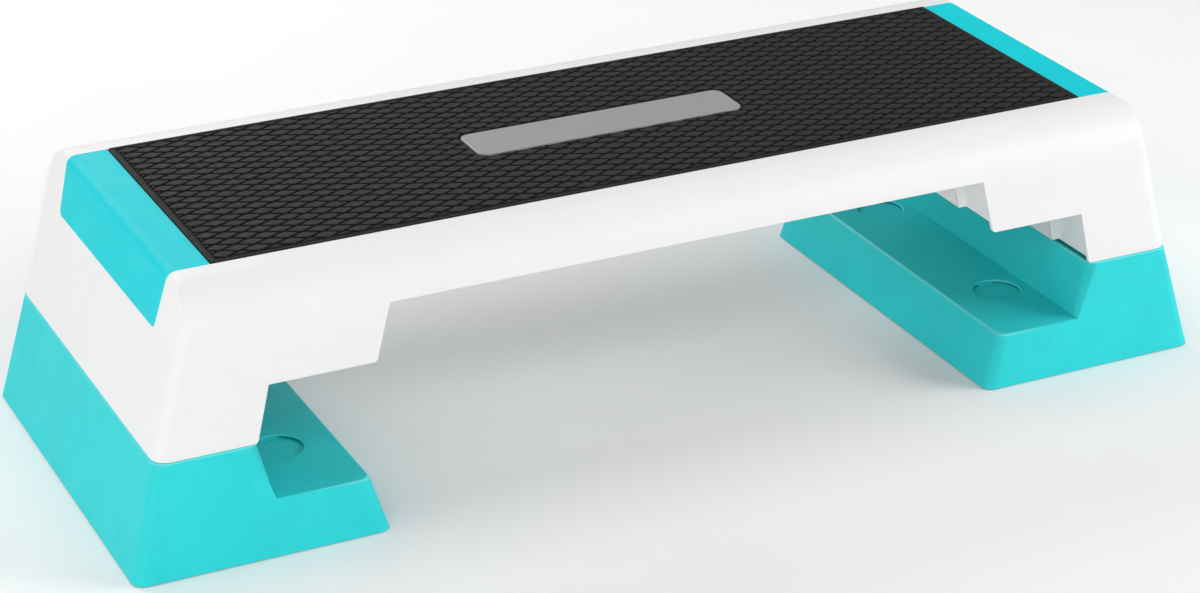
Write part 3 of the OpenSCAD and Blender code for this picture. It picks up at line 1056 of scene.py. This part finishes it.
def build_foot(node, body, material, stem_r):
    """A rubber foot: a disc with a rounded sole, shallow rings and a stem."""
    low, high = node_box(node)
    x, y, r = round_node(node)
    h, disc = high[2] - low[2], FOOT_DISC
    profile = [(0, 0.7), (0.42 * r, 0.7), (0.46 * r, 0), (0.62 * r, 0), (0.66 * r, 0.7),
               (0.76 * r, 0.7), (0.80 * r, 0), (0.93 * r, 0), (0.98 * r, 0.35), (r, 1.1), (r, disc - 0.9),
               (r - 0.3, disc - 0.3), (r - 0.9, disc), (stem_r, disc), (stem_r, h - 1), (stem_r - 1, h),
               (0, h)]
    s = Surface()
    s.lathe(profile, (x, y, low[2]))
    return make_object("pad_" + node, s.bm(), body, material, replaces=[node])


# ------------ materials

NOISE_MIDDLE = (0.3, 0.7)      # most of a noise's values lie between these
# painted shade for the groove floors of the tread
PAINTED_GROOVE_SHADE = (0.0035, 0.0035, 0.0037)


class Nodes:
    """Short way to write a node material around one Principled shader."""

    def __init__(self, name, **sockets):
        self.material = bpy.data.materials.new(name)
        self.material.use_nodes = True
        self.tree = self.material.node_tree
        self.shader = self.tree.nodes["Principled BSDF"]
        for key, value in sockets.items():
            self.shader.inputs[key.replace("_", " ")].default_value = value
        self.place = self.tree.nodes.new("ShaderNodeTexCoord").outputs["Object"]

    def node(self, kind, inputs, output, **settings):
        """Adds a node and returns an output; an input is linked if it is a socket, or else set."""
        node = self.tree.nodes.new("ShaderNode" + kind)
        for key, value in settings.items():
            setattr(node, key, value)
        for key, value in inputs.items():
            if isinstance(value, bpy.types.NodeSocket):
                self.tree.links.new(value, node.inputs[key])
            else:
                node.inputs[key].default_value = value
        return node.outputs[output]

    def noise(self, size_mm, detail=3.0, roughness=0.5):
        inputs = {"Vector": self.place, "Scale": 1 / (size_mm * MM), "Detail": detail, "Roughness": roughness}
        return self.node("TexNoise", inputs, "Fac")

    def range(self, value, low, high, start=NOISE_MIDDLE[0], stop=NOISE_MIDDLE[1]):
        """From low to high while the value goes from start to stop."""
        inputs = {"Value": value, "From Min": start, "From Max": stop, "To Min": low, "To Max": high}
        return self.node("MapRange", inputs, "Result")

    def average(self, a, b):
        return self.range(self.node("Math", {0: a, 1: b}, "Value", operation="ADD"), 0, 1, 0, 2)

    def height(self, low, high):
        """0 below one height in millimetres, 1 above the other."""
        z = self.node("SeparateXYZ", {"Vector": self.place}, "Z")
        return self.range(z, 0, 1, low * MM, high * MM)

    def wear_and_painted_light(self, low, high):
        """The mesh's own painted-light value, painted highlight above 0 and painted shade below 0, as 0 at
        one value of it and 1 at the other.
        """
        return self.range(self.node("Attribute", {}, "Fac", attribute_name="wear_and_painted_light"), 0, 1, low, high)

    def ramp(self, value, first, last):
        """From one colour to the other over the middle of a noise."""
        colour = self.node("ValToRGB", {"Fac": value}, "Color")
        for element, at, stop in zip(colour.node.color_ramp.elements, NOISE_MIDDLE, (first, last)):
            element.position = at
            element.color = (*stop, 1)
        return colour

    def mix(self, share, below, above):
        """Blend of two colours, each a socket or three numbers."""
        below, above = ((*c, 1) if isinstance(c, tuple) else c for c in (below, above))
        return self.node("Mix", {"Factor": share, 6: below, 7: above}, 2, data_type="RGBA")

    def bump(self, height, strength, depth_mm, below=None):
        inputs = {"Height": height, "Strength": strength, "Distance": depth_mm * MM}
        if below is not None:
            inputs["Normal"] = below
        return self.node("Bump", inputs, "Normal")

    def plug(self, socket, value):
        self.tree.links.new(value, self.shader.inputs[socket])


def moulded_plastic(name, colours, roughness, grain_mm, grain_depth, painted_highlight=None, painted_shade=None,
                    **sockets):
    """Moulded plastic: colour drift, speckle, a blasted grain, smoother patches, and a painted highlight and
    painted shade where the mesh's painted-light value asks for them.
    """
    n = Nodes(name, **sockets)
    drift, speckle = n.noise(45, detail=4), n.noise(grain_mm, detail=2)
    colour = n.ramp(n.average(drift, speckle), *colours)
    # painted highlight where the mesh's value is above 0, painted shade where it is below 0
    if painted_highlight:
        colour = n.mix(n.wear_and_painted_light(0, 1), colour, painted_highlight)
    if painted_shade:
        colour = n.mix(n.wear_and_painted_light(0, -1), colour, painted_shade)
    n.plug("Base Color", colour)
    n.plug("Roughness", n.range(n.noise(18, detail=5, roughness=0.6), *roughness))
    flow = n.bump(n.noise(60, detail=2), 0.25, 0.25)
    n.plug("Normal", n.bump(speckle, 0.6, grain_depth, below=flow))
    return n.material


def rubber(name, colours, roughness, painted_shade_heights=None, **sockets):
    """Rubber: mottled, matt, with a fine grain, and, when heights are given, painted shade below them, on the
    floors of the grooves.
    """
    n = Nodes(name, **sockets)
    colour = n.ramp(n.noise(9, detail=6, roughness=0.65), *colours)
    # painted shade: darker below the given heights
    if painted_shade_heights:
        colour = n.mix(n.height(*painted_shade_heights), PAINTED_GROOVE_SHADE, colour)
    n.plug("Base Color", colour)
    n.plug("Roughness", n.range(n.noise(5, detail=4), *roughness))
    n.plug("Normal", n.bump(n.noise(0.9, detail=3), 0.5, 0.12))
    return n.material


WHITE = moulded_plastic(
    "deck_white", [(0.805, 0.80, 0.80), (0.835, 0.83, 0.83)], (0.42, 0.52), 1.1, 0.04,
    Specular_IOR_Level=0.4)
CAP_TEAL = moulded_plastic(
    "cap_turquoise", [(0.004, 0.60, 0.665), (0.006, 0.635, 0.70)], (0.50, 0.60), 0.9, 0.05,
    Specular_IOR_Level=0.16)
# painted light on the risers: the lighter, whiter colour is a painted highlight on the edges of the top and
# the shelf and on the recess rims; the dark colour is painted shade in the recesses
RISER_TEAL = moulded_plastic(
    "riser_turquoise", [(0.02, 0.595, 0.617), (0.03, 0.675, 0.70)], (0.46, 0.58), 2.0, 0.2,
    painted_highlight=(0.13, 0.73, 0.74), painted_shade=(0.0, 0.22, 0.235), Specular_IOR_Level=0.22)
# painted shade on the groove floors and the lower parts of the border, below these heights
TREAD_BLACK = rubber(
    "tread_rubber", [(0.014, 0.014, 0.0145), (0.023, 0.023, 0.0235)], (0.62, 0.78),
    painted_shade_heights=(TREAD_TOP - 1.1, TREAD_TOP - 0.35), Specular_IOR_Level=0.25)
FOOT_BLACK = rubber(
    "foot_rubber", [(0.018, 0.018, 0.019), (0.026, 0.026, 0.027)], (0.6, 0.8))
PLATE_GREY = moulded_plastic(
    "plate_grey", [(0.30, 0.30, 0.30), (0.33, 0.33, 0.33)], (0.40, 0.50), 0.6, 0.03)

# ------------ camera


def aim(obj, place, azimuth, elevation, roll=0.0):
    """Puts obj at a place, looking along an azimuth from +Y and down by an elevation, in degrees."""
    a, e, r = (math.radians(d) for d in (azimuth, elevation, roll))
    back = Vector((math.sin(a) * math.cos(e), -math.cos(a) * math.cos(e), math.sin(e)))
    right = Vector((math.cos(a), math.sin(a), 0))
    up = back.cross(right)
    right, up = right * math.cos(r) + up * math.sin(r), up * math.cos(r) - right * math.sin(r)
    turn = Matrix((right, up, back)).transposed().to_4x4()
    obj.matrix_world = Matrix.Translation(Vector(place)) @ turn


# place, direction and lens fitted to the corners and edges of the object in the photo
camera = bpy.data.objects.new("camera", bpy.data.cameras.new("camera"))
bpy.context.scene.collection.objects.link(camera)
camera.data.lens = 92.61
camera.data.sensor_width = 36
aim(camera, (-1.16504, -2.41707, 1.32288), -25.672, 24.916, -0.253)
bpy.context.scene.camera = camera

# ------------ pieces

build_deck(WHITE)
build_cap("cap_left", -1, CAP_TEAL, "end_cap_left")
build_cap("cap_right", 1, CAP_TEAL, "end_cap_right")
build_tread(TREAD_BLACK)
build_plate(PLATE_GREY)
for word, side in (("left", -1), ("right", 1)):
    build_riser("riser_body_" + word, side, RISER_TEAL, "riser_" + word)
    for row in ("front", "rear"):
        build_foot(f"deck_foot_{word}_{row}", "deck", FOOT_BLACK, DECK_STEM_R)
        for end in ("outer", "inner"):
            build_foot(f"riser_foot_{word}_{end}_{row}", side_body(side), FOOT_BLACK, RISER_STEM_R)

# ------------ floor and light


def build_floor():
    half = 6.0                 # in metres
    data = bpy.data.meshes.new("floor")
    corners = [(-half, -half, 0), (half, -half, 0), (half, half, 0), (-half, half, 0)]
    data.from_pydata(corners, [], [(0, 1, 2, 3)])
    floor = bpy.data.objects.new("floor", data)
    n = Nodes("floor", Roughness=0.9, Specular_IOR_Level=0.1)
    n.plug("Base Color", n.ramp(n.noise(400), (0.91, 0.91, 0.91), (0.93, 0.93, 0.93)))
    data.materials.append(n.material)
    bpy.context.scene.collection.objects.link(floor)


def area_light(name, place, size, power, azimuth, elevation):
    """A soft box at a place in metres, of a size and a power in watts, looking as aim says."""
    lamp = bpy.data.lights.new(name, "AREA")
    lamp.shape = "RECTANGLE"
    lamp.size, lamp.size_y = size
    lamp.energy = power
    obj = bpy.data.objects.new(name, lamp)
    bpy.context.scene.collection.objects.link(obj)
    aim(obj, place, azimuth, elevation)


def build_light():
    world = bpy.data.worlds.new("studio")
    bpy.context.scene.world = world
    world.use_nodes = True
    background = world.node_tree.nodes["Background"]
    background.inputs["Color"].default_value = (1, 1, 1, 1)
    background.inputs["Strength"].default_value = 0.13
    area_light("front_soft", (-1.6, -3.2, 2.2), (3.0, 2.2), 51, -26, 32)
    area_light("top_soft", (0.2, 0.4, 3.0), (3.0, 2.0), 26, 0, 90)
    area_light("left_soft", (-3.4, 0.2, 1.4), (2.0, 1.6), 26, -93, 20)
    area_light("left_low", (-3.0, -2.2, 0.6), (2.0, 1.0), 27, -54, 9)
    area_light("right_soft", (3.2, -1.8, 1.6), (2.2, 1.8), 96, 60, 24)
    area_light("back_soft", (-0.6, 3.0, 2.0), (2.8, 1.8), 62, 192, 32)


build_floor()
build_light()
bpy.context.scene.view_settings.view_transform = "Standard"
